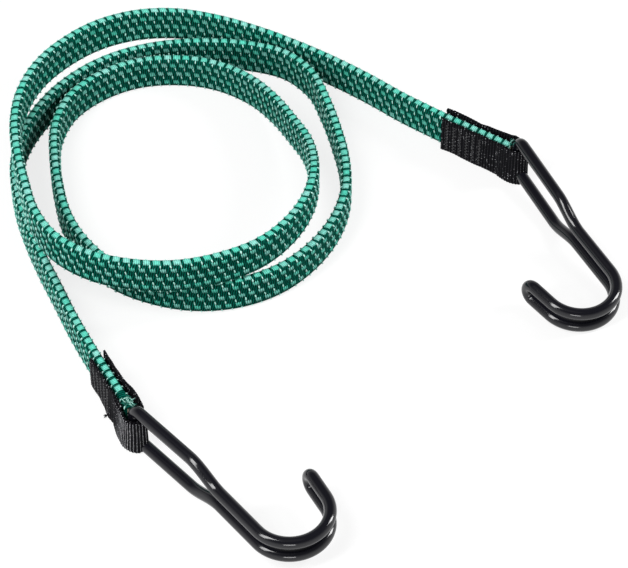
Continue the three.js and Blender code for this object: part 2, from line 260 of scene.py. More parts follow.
def place(piece, body, slotName, *nodes):
    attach(piece, body)
    if nodes:
        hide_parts(*nodes)
    return piece


# shared shader effects, each a group of plain values
def newGroup(name, inputs, outputs):
    tree = bpy.data.node_groups.new(name, "ShaderNodeTree")
    for label, kind, value in inputs:
        socket = tree.interface.new_socket(label, in_out="INPUT", socket_type="NodeSocket" + kind)
        if value is not None:
            socket.default_value = value
    for label in outputs:
        tree.interface.new_socket(label, in_out="OUTPUT", socket_type="NodeSocketFloat")
    return tree, tree.nodes.new("NodeGroupInput").outputs, tree.nodes.new("NodeGroupOutput").inputs


def feed(tree, socket, value):
    # links a socket to the one it is fed by, or sets its plain value
    if isinstance(value, bpy.types.NodeSocket):
        tree.links.new(value, socket)
    else:
        socket.default_value = value


def addNode(tree, kind, inputs=None, **settings):
    node = tree.nodes.new("ShaderNode" + kind)
    for key, value in settings.items():
        setattr(node, key, value)
    for key, value in (inputs or {}).items():
        feed(tree, node.inputs[key], value)
    return node


def mathNode(tree, operation, *values, clamp=False):
    return addNode(tree, "Math", dict(enumerate(values)), operation=operation, use_clamp=clamp).outputs[0]


def mixColour(tree, share, a, b):
    node = addNode(tree, "Mix", data_type="RGBA")
    for key, value in ((0, share), (6, a), (7, b)):
        feed(tree, node.inputs[key], (*value, 1) if isinstance(value, tuple) else value)
    return node.outputs[2]


def makeFibreFuzz():
    tree, source, result = newGroup(
        "fibreFuzz",
        [("Vector", "Vector", None), ("Size", "Float", 900.0), ("Stretch", "Float", 1.0)],
        ["Fibre", "Cloud"])
    stretch = addNode(tree, "CombineXYZ", {0: source["Stretch"], 1: 1.0, 2: 1.0})
    inputs = {0: source["Vector"], 1: stretch.outputs[0]}
    scaled = addNode(tree, "VectorMath", inputs, operation="MULTIPLY").outputs[0]
    fine = addNode(tree, "TexNoise", {"Vector": scaled, "Scale": source["Size"], "Detail": 2.0})
    cloud = addNode(tree, "TexNoise", {"Vector": source["Vector"], "Scale": 60.0, "Detail": 3.0})
    tree.links.new(fine.outputs["Fac"], result["Fibre"])
    tree.links.new(cloud.outputs["Fac"], result["Cloud"])
    return tree


def makeYarnRows():
    tree, source, result = newGroup(
        "yarnRows",
        [("Along", "Float", 0.0), ("Across", "Float", 0.0), ("Count", "Float", 1.0), ("Slant", "Float", 0.0),
         ("Wander", "Float", 0.15)], ["Crest"])
    place2d = addNode(tree, "CombineXYZ", {0: source["Along"], 1: source["Across"]}).outputs[0]
    noise = addNode(tree, "TexNoise", {"Vector": place2d, "Scale": 2.3, "Detail": 2.0})
    wobble = mathNode(tree, "SUBTRACT", noise.outputs["Fac"], 0.5)
    phase = mathNode(tree, "MULTIPLY", source["Along"], source["Count"])
    phase = mathNode(tree, "ADD", phase, mathNode(tree, "MULTIPLY", source["Across"], source["Slant"]))
    phase = mathNode(tree, "ADD", phase, mathNode(tree, "MULTIPLY", wobble, source["Wander"]))
    wave = mathNode(tree, "SINE", mathNode(tree, "MULTIPLY", phase, 2 * math.pi))
    tree.links.new(mathNode(tree, "MULTIPLY_ADD", wave, 0.5, 0.5), result["Crest"])
    return tree


def makeSpeckles():
    # small specks: painted glints on the webbing, rough scuffs on the vinyl
    tree, source, result = newGroup(
        "speckles",
        [("Vector", "Vector", None), ("Density", "Float", 700.0), ("Reach", "Float", 0.22)], ["Speck"])
    cells = addNode(tree, "TexVoronoi", {"Vector": source["Vector"], "Scale": source["Density"]})
    patch = addNode(tree, "TexNoise", {"Vector": source["Vector"], "Scale": 240.0, "Detail": 1.0})
    limit = mathNode(tree, "MULTIPLY", source["Reach"], patch.outputs["Fac"])
    tree.links.new(mathNode(tree, "LESS_THAN", cells.outputs["Distance"], limit), result["Speck"])
    return tree


fibreFuzz, yarnRows, speckles = makeFibreFuzz(), makeYarnRows(), makeSpeckles()


def useGroup(tree, group, inputs):
    node = tree.nodes.new("ShaderNodeGroup")
    node.node_tree = group
    for key, value in inputs.items():
        feed(tree, node.inputs[key], value)
    return node.outputs


def newMaterial(name, fixed):
    material = bpy.data.materials.new(name)
    material.use_nodes = True
    shader = material.node_tree.nodes["Principled BSDF"]
    for key, value in fixed.items():
        shader.inputs[key].default_value = value
    return material, material.node_tree, shader.inputs


def weaveMap(tree):
    # how far along and across the weave, from the piece's UV map
    return addNode(tree, "SeparateXYZ", {0: addNode(tree, "UVMap", uv_map="weave").outputs[0]}).outputs


def objectFuzz(tree, size, stretch=1.0):
    coords = addNode(tree, "TexCoord").outputs["Object"]
    return coords, useGroup(tree, fibreFuzz, {"Vector": coords, "Size": size, "Stretch": stretch})


def setBump(tree, shader, height, strength, distance):
    bump = addNode(tree, "Bump", {"Height": height, "Strength": strength, "Distance": distance})
    tree.links.new(bump.outputs[0], shader["Normal"])


def makeFibreMaterial(name, look):
    # two tones mixed by a fine or a cloudy noise, with fine bumps: threads, rubber and bare wire
    fixed = {"Roughness": look["roughness"], "Metallic": look.get("metallic", 0.0)}
    material, tree, shader = newMaterial(name, fixed)
    fuzz = objectFuzz(tree, look["fibreSize"], look.get("stretch", 1.0))[1]
    mixed = mixColour(tree, fuzz[look.get("mixedBy", "Fibre")], look["deep"], look["crest"])
    tree.links.new(mixed, shader["Base Color"])
    setBump(tree, shader, fuzz["Fibre"], look["bump"], look["bumpDepth"])
    return material


# the dark yarn's deep colour is painted shade, near-black for the valleys between the yarns
darkYarnLook = {
    "deep": (0.0001, 0.008, 0.006), "crest": (0.0015, 0.17, 0.115), "roughness": 0.8, "specular": 0.03,
    "yarnsPerPitch": 4.0, "slant": 0.9, "wander": 0.5, "fibreSize": 1500.0, "fibreLight": 1.7,
    "fibreHeight": 0.5, "bump": 0.8, "bumpDepth": 0.12 * mm,
}
# the light yarn's deep colour is painted shade, for the blocks' valleys and shaded sides
lightYarnLook = {
    "deep": (0.001, 0.05, 0.034), "crest": (0.13, 0.92, 0.69), "pale": (0.4, 1.0, 0.88), "roughness": 0.6,
    "specular": 0.12, "fibreSize": 1800.0, "fibreLight": 0.9, "bump": 0.5, "bumpDepth": 0.08 * mm,
}
tieYarnLook = {
    "deep": (0.4, 0.97, 0.82), "crest": (0.7, 1.0, 0.93), "roughness": 0.5, "fibreSize": 2400.0,
    "bump": 0.5, "bumpDepth": 0.06 * mm,
}


def makeDarkYarn(look):
    fixed = {"Roughness": look["roughness"], "Specular IOR Level": look["specular"]}
    material, tree, shader = newMaterial("darkYarn", fixed)
    along, across = weaveMap(tree)[:2]
    crest = useGroup(tree, yarnRows, {"Along": along, "Across": across, "Count": look["yarnsPerPitch"],
                                      "Slant": look["slant"], "Wander": look["wander"]})["Crest"]
    fibre = objectFuzz(tree, look["fibreSize"])[1]["Fibre"]
    # painted shade: the yarn crests are lighter and the valleys between them near-black, broken up by fibre
    # noise
    share = mathNode(tree, "MULTIPLY", crest, mathNode(tree, "MULTIPLY", fibre, look["fibreLight"]))
    tree.links.new(mixColour(tree, share, look["deep"], look["crest"]), shader["Base Color"])
    height = mathNode(tree, "ADD", crest, mathNode(tree, "MULTIPLY", fibre, look["fibreHeight"]))
    setBump(tree, shader, height, look["bump"], look["bumpDepth"])
    return material


def makeLightYarn(look):
    fixed = {"Roughness": look["roughness"], "Specular IOR Level": look["specular"]}
    material, tree, shader = newMaterial("lightYarn", fixed)
    # the painted light and shade kept on each block's points mixes the deep colour in as painted shade
    crest = addNode(tree, "Attribute", attribute_name="paintedYarnLight").outputs["Fac"]
    shade = addNode(tree, "Attribute", attribute_name="yarnShade").outputs["Fac"]
    fibre = objectFuzz(tree, look["fibreSize"])[1]["Fibre"]
    bright = mixColour(tree, shade, look["crest"], look["pale"])
    ripple = mathNode(tree, "MULTIPLY_ADD", fibre, look["fibreLight"], -look["fibreLight"] / 2)
    share = mathNode(tree, "ADD", crest, ripple, clamp=True)
    tree.links.new(mixColour(tree, share, look["deep"], bright), shader["Base Color"])
    setBump(tree, shader, fibre, look["bump"], look["bumpDepth"])
    return material


darkYarn, lightYarn = makeDarkYarn(darkYarnLook), makeLightYarn(lightYarnLook)
tieYarn = makeFibreMaterial("tieYarn", tieYarnLook)
print("yarn materials made")


# the woven sleeve: eight ribs of dark yarn round the strands, open where the strands run
def makeSleeve():
    ribs, sides = strapLook["ribs"], strapLook["ribs"] * strapLook["sidesPerRib"]
    count = round(strapLength / strapLook["pitch"] * strapLook["stationsPerPitch"]) + 1
    run = np.linspace(0, strapLength, count)
    row = np.arange(sides) / strapLook["sidesPerRib"] - 0.5
    lift = ribLift(np.mod(row + 0.5, 1) - 0.5) - strapLook["sleeveInset"]
    outer = onStrap(run[:, None], row[None], lift[None])
    inner = onStrap(run[:, None], row[None, ::2], -strapLook["wall"])
    innerSides = sides // 2
    outerFaces, *outerCorners = gridFaces(count, sides, closed=True, flip=True)
    innerFaces, *innerCorners = gridFaces(count, innerSides, closed=True)
    caps = []
    for station, flip in ((0, False), (count - 1, True)):
        for j in range(innerSides):
            a, b, c = (station * sides + (2 * j + k) % sides for k in range(3))
            p, q = (count * sides + station * innerSides + (j + k) % innerSides for k in range(2))
            strip = [[a, b, p], [b, q, p], [b, c, q]]
            caps += [face[::-1] for face in strip] if flip else strip
    uv = []
    for (cornerRow, cornerColumn), around in ((outerCorners, sides), (innerCorners, innerSides)):
        along, across = run[cornerRow] / strapLook["pitch"], ribs * cornerColumn / around - 0.5
        uv.append(np.stack([along, across], -1).reshape(-1, 2))
    points = np.concatenate([outer.reshape(-1, 3), inner.reshape(-1, 3)])
    faces = [outerFaces, innerFaces + count * sides, caps]
    uv = np.vstack([*uv, np.zeros((3 * len(caps), 2))])
    sleeve = makePiece("strap_sleeve", points, faces, darkYarn, uv)
    return place(sleeve, "strap", "strap_weave", "strap_cover")


strapSleeve = makeSleeve()
print(f"sleeve woven, {len(strapSleeve.data.polygons)} faces")

# light floats: blocks of crosswise yarns that stand on each rib, one in every pitch
# the blocks' light and shade is painted on them: each group of rows has its own valley light, painted fade
# towards one long side, end shade and side shade
floatLook = {
    "edge": {"rows": (0, 4), "length": 0.79, "low": -0.44, "high": 0.44, "yarns": 4, "taper": 0.1,
             "valleyLight": 0.56, "paintedFade": 0.1},
    "outer": {"rows": (1, 2, 3), "length": 0.68, "low": -0.27, "high": 0.21, "yarns": 3, "taper": 0.3,
              "valleyLight": 0.15, "paintedFade": 0.7},
    "inner": {"rows": (5, 6, 7), "length": 0.7, "low": -0.31, "high": 0.23, "yarns": 3, "taper": 0.3,
              "valleyLight": 0.28, "paintedFade": 0.5},
    "proud": 0.3 * mm, "sunk": 0.09 * mm, "ridge": 0.09 * mm, "comb": 0.16, "slant": 0.10, "root": 0.5 * mm,
    "nudge": 0.018, "stretch": 0.035, "slip": 0.015, "uneven": 0.022,
    "endShade": 0.42, "sideShade": 0.5, "paintedFadeSlope": 1.4,
    "stepsAcross": 4, "bareEnd": 6.5 * mm, "bareRows": (0, 1, 7), "seed": 11,
}


def blockCentres(row):
    # where a row's light blocks are centred along the strap
    first = (0.5 + strapLook["rowShift"] * row) % 1
    return np.arange(first, strapLength / strapLook["pitch"], 1) * strapLook["pitch"]


def patchPoints(run, row, off, lift, centres, middle, depth):
    # one row's patches: the domed tops, and after each the root point that its rim runs down to
    top = onStrap(run, row + off, lift).reshape(len(centres), -1, 3)
    root = onStrap(centres[:, None], np.full((len(centres), 1), row + middle), -depth)
    return np.concatenate([top, root], 1)


def makePatches(name, points, rows, columns, material, values=None):
    points = np.concatenate(points)
    faces = [repeatFaces(part, len(points), rows * columns + 1) for part in patchFaces(rows, columns)]
    return place(makePiece(name, points, faces, material, values=values), "strap", "strap_weave")


def makeFloats(name, part, chance):
    pitch, columns, steps = strapLook["pitch"], 2 * part["yarns"] + 1, floatLook["stepsAcross"] + 1
    # a goes along the block from -1 to 1, t across it from 0 to 1
    a, t = np.meshgrid(np.linspace(-1, 1, columns), np.linspace(0, 1, steps), indexing="ij")
    crest = np.repeat((np.arange(columns) % 2).astype(float)[:, None], steps, 1)
    swell = (1 - np.abs(a) ** 5) * (1 - np.abs(2 * t - 1) ** 3)
    # painted light and shade: lighter on the yarn crests, darker in the valleys between them, towards the
    # block's ends, along its two long rims and towards its side where t reaches 1
    lit = part["valleyLight"] + (1 - part["valleyLight"]) * crest
    lit = lit * (1 - floatLook["endShade"] * np.abs(a) ** 3)
    lit = lit * (1 - part["paintedFade"] * np.clip(1 - floatLook["paintedFadeSlope"] * (1 - t), 0, 1))
    lit = lit * (1 - floatLook["sideShade"] * np.abs(2 * t - 1) ** 3)
    half, span, middle = part["length"] / 2, part["high"] - part["low"], (part["low"] + part["high"]) / 2
    points, shades = [], []
    for row in part["rows"]:
        centres = blockCentres(row)
        bare = floatLook["bareEnd"] if row in floatLook["bareRows"] else 0
        centres = centres[(centres > half * pitch) & (centres < strapLength - half * pitch - bare)]
        size = (len(centres), 1, 1)
        nudge = chance.normal(0, floatLook["nudge"], size)
        stretch = chance.normal(1, floatLook["stretch"], size)
        slip = chance.normal(0, floatLook["slip"], size)
        shades.append(chance.random(len(centres)))
        yarnLift, ragged = chance.normal(0, floatLook["uneven"], (2, len(centres), columns, 1))
        reach = half * stretch * (a + part["taper"] * t * (1 - a) / 2)
        run = centres[:, None, None] + pitch * (nudge + reach + floatLook["slant"] * (t - 0.5) * span)
        off = part["low"] + span * t + slip + (ragged - floatLook["comb"] * (crest - 0.5)) * (1 - 2 * t)
        lift = ribLift(off) - strapLook["sleeveInset"] - floatLook["sunk"] + yarnLift * mm
        lift = lift + (floatLook["proud"] + floatLook["ridge"] * (crest - 0.5)) * swell
        points.append(patchPoints(run, row, off, lift, centres, middle, floatLook["root"]))
    shade = np.concatenate(shades)
    values = {"yarnShade": np.repeat(shade, columns * steps + 1),
              "paintedYarnLight": np.tile(np.append(lit.ravel(), 0), len(shade))}
    return makePatches(name, points, columns, steps, lightYarn, values)


floatChance = np.random.default_rng(floatLook["seed"])
strapFloats = [makeFloats(f"strap_{side}_floats", floatLook[side], floatChance)
               for side in ("edge", "outer", "inner")]
print(f"light floats laid, {sum(len(piece.data.polygons) for piece in strapFloats)} faces")

# pale tie yarns that bridge the valleys between the ribs
tieLook = {
    "offset": -0.25, "topInnerOffset": -0.12, "width": 0.68 * mm, "height": 0.38, "slant": 0.07,
    "lift": 0.04 * mm, "restsAt": 0.25, "arch": 0.4, "tuck": 0.1 * mm, "root": 0.55 * mm, "bareEnd": mm,
    "leanSpread": 0.03, "heightSpread": 0.08, "widthSpread": 0.10,
    "stations": 5, "turnsDegrees": (-100, -35, 35, 100), "seed": 23,
}


def makeTies():
    chance, pitch = np.random.default_rng(tieLook["seed"]), strapLook["pitch"]
    turns, down = np.radians(tieLook["turnsDegrees"]), np.linspace(-1, 1, tieLook["stations"])
    d, turn = np.meshgrid(down, turns, indexing="ij")
    taper = np.clip(1.02 - d ** 2, 0, 1) ** 0.3  # narrow at both ends
    depth = ribLift(tieLook["restsAt"]) * (1 - tieLook["arch"] * (1 - d ** 2))
    depth = depth - tieLook["tuck"] * (1 - taper) + tieLook["lift"] - strapLook["sleeveInset"]
    points = []
    for row in range(strapLook["ribs"]):
        offset = tieLook["offset"] if row else tieLook["topInnerOffset"]
        centres = blockCentres(row) + offset * pitch
        centres = centres[(centres > tieLook["bareEnd"]) & (centres < strapLength - tieLook["bareEnd"])]
        size = (len(centres), 1, 1)
        lean = tieLook["slant"] + chance.normal(0, tieLook["leanSpread"], size)
        tall = tieLook["height"] / 2 * chance.normal(1, tieLook["heightSpread"], size)
        thick = tieLook["width"] / 2 * chance.normal(1, tieLook["widthSpread"], size)
        run = centres[:, None, None] + lean * d * pitch / 2 + thick * np.sin(turn) * taper
        lift = depth + thick * np.cos(turn) * taper
        points.append(patchPoints(run, row, tall * d - 0.5, lift, centres, -0.5, tieLook["root"]))
    return makePatches("strap_tie_yarns", points, len(down), len(turns), tieYarn)


tieYarns = makeTies()
print(f"tie yarns laid, {len(tieYarns.data.polygons)} faces")

# rubber strands inside the sleeve
strandLook = {
    "count": 5, "clearance": 0.3 * mm, "thickness": 2.6 * mm, "corner": 0.45 * mm, "cornerSteps": 3,
    "stations": 360, "endGap": 0.2 * mm,
}
rubberLook = {
    "deep": (0.42, 0.36, 0.24), "crest": (0.66, 0.60, 0.46), "mixedBy": "Cloud", "roughness": 0.72,
    "fibreSize": 500.0, "bump": 0.3, "bumpDepth": 0.05 * mm,
}


def tubeFaces(count, sides):
    # the grid round a tube, and a fan at each end to one of the two points after its rings
    ring, last = np.arange(sides), (count - 1) * sides
    after, middle = (ring + 1) % sides, np.full(sides, count * sides)
    return [gridFaces(count, sides, closed=True, flip=True)[0],
            np.stack([ring, after, middle], 1), np.stack([last + after, last + ring, middle + 1], 1)]


def makeStrands():
    rubber = makeFibreMaterial("strandRubber", rubberLook)
    inside = strapLook["width"] - 2 * strapLook["wall"]
    stride = (inside - strandLook["clearance"]) / strandLook["count"]
    height = stride - strandLook["clearance"]
    outline = roundedOutline(strandLook["thickness"], height, strandLook["corner"],
                             strandLook["cornerSteps"])
    gap = strandLook["endGap"]
    run = np.linspace(gap, strapLength - gap, strandLook["stations"])[:, None]
    for k in range(strandLook["count"]):
        raised = outline.copy()
        raised[:, 2] += strapLook["wall"] + strandLook["clearance"] + k * stride
        rings = onStrap(run, outline[None, :-1, 0], 0, raised, 1)
        points = np.vstack([*rings, rings[0].mean(0), rings[-1].mean(0)])
        piece = makePiece(f"rubber_strand_look_{k + 1}", points, tubeFaces(*rings.shape[:2]), rubber)
        place(piece, "strap", "strand_rubber", f"rubber_strand_{k + 1}")


makeStrands()
print("rubber strands drawn in")

# webbing tabs: one strip folded round each crossbar, pinched where it passes between the hook's legs
tabSurface = {
    "along": 0.27 * mm, "columns": 22, "rows": 20, "edgeCrowding": 0.35, "edgePower": 10,
    "edgeThinning": 0.75, "edgeWave": 0.3 * mm, "waves": 26, "fray": 0.225 * mm,
    "pleat": 0.1 * mm, "pleats": 2.5, "pleatStart": 0.6, "ribWander": 0.10, "ribWaves": 9, "ribTwist": 1.3,
    "wearAndGlint": 0.05, "ground": 0.06 * mm, "seed": 5,
}
webbingLook = {
    "black": (0.002, 0.002, 0.003), "crest": (0.012, 0.012, 0.016), "glint": (0.8, 0.8, 0.84),
    "roughness": 0.7, "specular": 0.05, "ribWander": 0.25, "warpSlant": 0.5, "warpWander": 0.6,
    "fibreSize": 1400.0, "fibreLight": 1.8, "fibreHeight": 0.5, "speckDensity": 1000.0, "speckReach": 0.55,
    "speckPower": 3.0, "dotPower": 20.0, "bump": 0.8, "bumpDepth": 0.14 * mm,
}


def makeWebbing(look):
    fixed = {"Roughness": look["roughness"], "Specular IOR Level": look["specular"]}
    material, tree, shader = newMaterial("blackWebbing", fixed)
    along, across = weaveMap(tree)[:2]
    rib = useGroup(tree, yarnRows, {"Along": along, "Across": across, "Wander": look["ribWander"]})["Crest"]
    warp = useGroup(tree, yarnRows, {"Along": across, "Across": along, "Slant": look["warpSlant"],
                                     "Wander": look["warpWander"]})["Crest"]
    coords, fuzz = objectFuzz(tree, look["fibreSize"])
    speck = useGroup(tree, speckles, {"Vector": coords, "Density": look["speckDensity"],
                                        "Reach": look["speckReach"]})["Speck"]
    # painted shade: the woven crests are lighter and the hollows between them black, broken up by fibre
    # noise
    stitched = mathNode(tree, "MULTIPLY", rib, warp)
    light = mathNode(tree, "MULTIPLY", fuzz["Fibre"], look["fibreLight"])
    share = mathNode(tree, "MULTIPLY", stitched, light, clamp=True)
    cloth = mixColour(tree, share, look["black"], look["crest"])
    # painted glints: white specks on the woven crests
    glints = mathNode(tree, "MULTIPLY", mathNode(tree, "POWER", stitched, look["speckPower"]), speck)
    # white dots on the rib crests, partly worn fibres and partly painted glints, as strong as the value on
    # each point
    dots = mathNode(tree, "MULTIPLY", mathNode(tree, "POWER", rib, look["dotPower"]), warp)
    wearAndGlint = addNode(tree, "Attribute", attribute_name="foldWearAndGlint").outputs["Fac"]
    glints = mathNode(tree, "ADD", glints, mathNode(tree, "MULTIPLY", dots, wearAndGlint), clamp=True)
    tree.links.new(mixColour(tree, glints, cloth, look["glint"]), shader["Base Color"])
    height = mathNode(tree, "ADD", stitched, mathNode(tree, "MULTIPLY", fuzz["Fibre"], look["fibreHeight"]))
    setBump(tree, shader, height, look["bump"], look["bumpDepth"])
    return material


webbingBlack = makeWebbing(webbingLook)


def ease(share):
    share = np.clip(share, 0, 1)
    return share * share * (3 - 2 * share)


def halfFold(reach, step):
    # half the fold as the solid has it: x, distance off the middle, normal, and how far it's gathered
    start, finish, radius = tabLook["gatherStart"], tabLook["gatherEnd"], tabLook["loopRadius"]
    x = np.arange(-reach, 0, step)
    share = ease((x - start) / (finish - start))
    y = tabLook["flapOffset"] + (radius - tabLook["flapOffset"]) * share
    turns = np.arange(0, math.pi / 2, step / radius)
    sine, cosine = np.sin(turns), np.cos(turns)
    return np.concatenate([
        np.stack([x, y, np.zeros_like(x), np.ones_like(x), share], 1),
        np.stack([radius * sine, radius * cosine, sine, cosine, np.ones_like(turns)], 1)])


def bowAt(x, bow):
    # a soft bow round one place along the flap, from the place and its spread
    return np.exp(-((x - tabLook[bow][0]) / tabLook[bow][1]) ** 2)


def foldPath(end, step):
    # from the far flap's cut end round the crossbar to the near flap's
    tipPoint = [[tabLook["loopRadius"], 0, 1, 0, 1]]
    near = halfFold(end["nearReach"], step)[::-1] * np.array([1, -1, 1, -1, 1])
    far = halfFold(end["farReach"], step)
    settle = np.clip(-far[:, 0] / tabLook["farBowEase"], 0, 1)
    far[:, 1] += end["farBow"] * bowAt(far[:, 0], "farBowAt") * settle
    return np.vstack([far, tipPoint, near])


def footBow(end, x, share):
    # how far the near flap's foot is bowed out, less and less up its height
    return end["nearBow"] * bowAt(x, "nearBowAt") * (1 - share) ** 2


def endFrame(name):
    # the tab's own frame: x from the strap to the crossbar, y to the strap's outer side
    bar = Vector(joints[ends[name]["joint"]]["pos_m"])
    bar.z = 0
    return Matrix.Translation(bar) @ Matrix.Rotation(math.radians(ends[name]["tabDegrees"]), 4, "Z")


def toFrame(matrix, points):
    return np.asarray(points) @ np.array(matrix.to_3x3()).T + np.array(matrix.translation)


def widthShares(columns):
    # shares of the webbing's width, closer together towards its edges
    even, crowding = np.linspace(0, 1, columns), tabSurface["edgeCrowding"]
    return (1 - np.cos(math.pi * even)) / 2 * crowding + even * (1 - crowding)


def edgeShape(q, power, thinning):
    # the webbing's thickness across its width, thin at both edges
    return np.clip(1 - np.abs(2 * q - 1) ** power * thinning, 0, 1) ** 0.5


def wavyEdge(chance, count, waves, height):
    return np.interp(np.arange(count), np.linspace(0, count, waves), chance.normal(0, 1, waves)) * height


def tabEdge(barHeight, share, top, chance):
    # the height of the webbing's lower or upper edge where it's gathered by a share
    straight = tabLook["width"] if top else 0
    pinched = barHeight + (1 if top else -1) * tabLook["gatheredHalf"]
    wave = wavyEdge(chance, len(share), tabSurface["waves"], tabSurface["edgeWave"])
    return straight + (pinched - straight) * share + wave - (wave.max() if top else wave.min())


def makeBand(pieceName, name, outer, inner, run, q, wearAndGlint, flip=False):
    # a band of webbing from its two faces' points, closed at its ends
    ring = np.concatenate([outer, inner[:, ::-1]], 1)
    count, sides = ring.shape[:2]
    faces, cornerRow, cornerColumn = gridFaces(count, sides, closed=True, flip=flip)
    around = np.concatenate([q, q[::-1], q[:1]]) * tabSurface["rows"]
    uv = np.stack([run[cornerRow] / tabLook["ribPitch"], around[cornerColumn]], -1).reshape(-1, 2)
    j = np.arange(len(q) - 1)
    cap = np.stack([j, j + 1, sides - 2 - j, sides - 1 - j], 1)[:, ::1 if flip else -1]
    caps = np.concatenate([cap, cap[:, ::-1] + (count - 1) * sides])
    uv = np.concatenate([uv, np.zeros((caps.size, 2))])
    points = toFrame(endFrame(name), ring.reshape(-1, 3))
    # the strength of the white dots on the rib crests: worn fibres and painted glints
    wearAndGlint = {"foldWearAndGlint": np.repeat(wearAndGlint, sides)}
    return makePiece(pieceName, points, [faces, caps], webbingBlack, uv, wearAndGlint)


def makeTab(name):
    end, chance = ends[name], np.random.default_rng(tabSurface["seed"] + len(name))
    path = foldPath(end, tabSurface["along"])
    run, q = runAlong(path[:, :2]), widthShares(tabSurface["columns"])
    x, y, normalX, normalY, gathered = path.T[..., None]
    barHeight = joints[end["joint"]]["pos_m"][2]
    low, high = (tabEdge(barHeight, path[:, 4], top, chance)[:, None] for top in (False, True))
    wander = tabSurface["ribWander"] * np.sin(tabSurface["ribWaves"] * q + tabSurface["ribTwist"] * gathered)
    turns = 2 * math.pi * (run[:, None] / tabLook["ribPitch"] + wander)
    ribs = tabLook["ribDepth"] * (np.cos(turns) - 1) / 2
    pleats = gathered * np.sin(2 * math.pi * tabSurface["pleats"] * q + tabSurface["pleatStart"])
    half = tabLook["thickness"] / 2 * edgeShape(q, tabSurface["edgePower"], tabSurface["edgeThinning"])
    middle = tabSurface["pleat"] * pleats + (y < 0) * footBow(end, x, q)
    sheets = []
    for lift in (middle + half + ribs, middle - half - ribs):
        height = np.maximum(low + (high - low) * q, tabSurface["ground"])
        sheets.append(np.stack([x + normalX * lift, y + normalY * lift, height], -1))
    for station in (0, -1):  # both ends are cut by hand and a little frayed
        ragged = chance.normal(0, 1, len(q)) * tabSurface["fray"]
        for sheet in sheets:
            sheet[station, :, 0] += ragged
    # a faint even share of the white dots, worn fibres and painted glints, over the whole tab
    tab = makeBand(f"{name}_tab_webbing", name, *sheets, run, q, np.full(len(run), tabSurface["wearAndGlint"]))
    return place(tab, "strap", "tab_webbing", f"{name}_webbing_tab")


tabs = {name: makeTab(name) for name in ends}

# the fold's outer ply bulges down over the wire's lower corner.
# Its plan runs from the near flap round the crossbar, in mm off the crossbar, at its foot and at its top.
bulgeLook = {
    # each side's amount of white dots on the fold's rib crests, worn fibres and painted glints, from a set
    # distance into the fold
    "right": {
        "foot": ((-9, -4.1), (-6.5, -4.7), (-3.5, -5.2), (-0.5, -5.3), (2, -4.9), (4.1, -3.8), (5.6, -1.9),
                 (6.3, 0.6)),
        "head": ((-9, -4.1), (-6.5, -4.4), (-3.5, -4.8), (-0.5, -5), (1.9, -4.7), (3.8, -3.6), (5.2, -1.9),
                 (5.9, 0.3)),
        "turnStart": (-4, -4.6), "turnEnd": (3.2, -4.6), "top": 21.2 * mm, "wearAndGlint": 0.3, "wearAndGlintStart": 9 * mm,
    },
    "left": {
        "foot": ((-13, -4.6), (-10, -5.3), (-6.8, -6), (-3.5, -6.4), (0, -6.5), (3.1, -5.8), (5.5, -4.4),
                 (7, -2.3), (7.6, 0.4), (7.3, 3.2)),
        "head": ((-13, -4.1), (-9.5, -4.3), (-6, -4.6), (-3, -4.9), (0.3, -5.2), (2.9, -4.8), (5, -3.6),
                 (6.3, -1.6), (6.8, 0.6), (6.6, 3.2)),
        "turnStart": (-4, -4.6), "turnEnd": (6.5, -2.5), "top": 18.3 * mm, "wearAndGlint": 1.0, "wearAndGlintStart": 4 * mm,
    },
    "thickness": 1.2 * mm, "columns": 24, "steps": 24, "leanSlope": 1.5, "settle": 5 * mm,
    "ground": 0.3 * mm, "footWave": 0.35 * mm, "topWave": 0.5, "waves": 9, "wearAndGlintSpread": 6 * mm,
    "edgePower": 8, "edgeThinning": 0.8, "ribDepth": 0.3 * mm, "ribWander": 0.5, "ribWaves": 5,
    "thinnest": 0.15, "startTaper": 1.6 * mm, "endTaper": 0.8 * mm, "seed": 47,
}


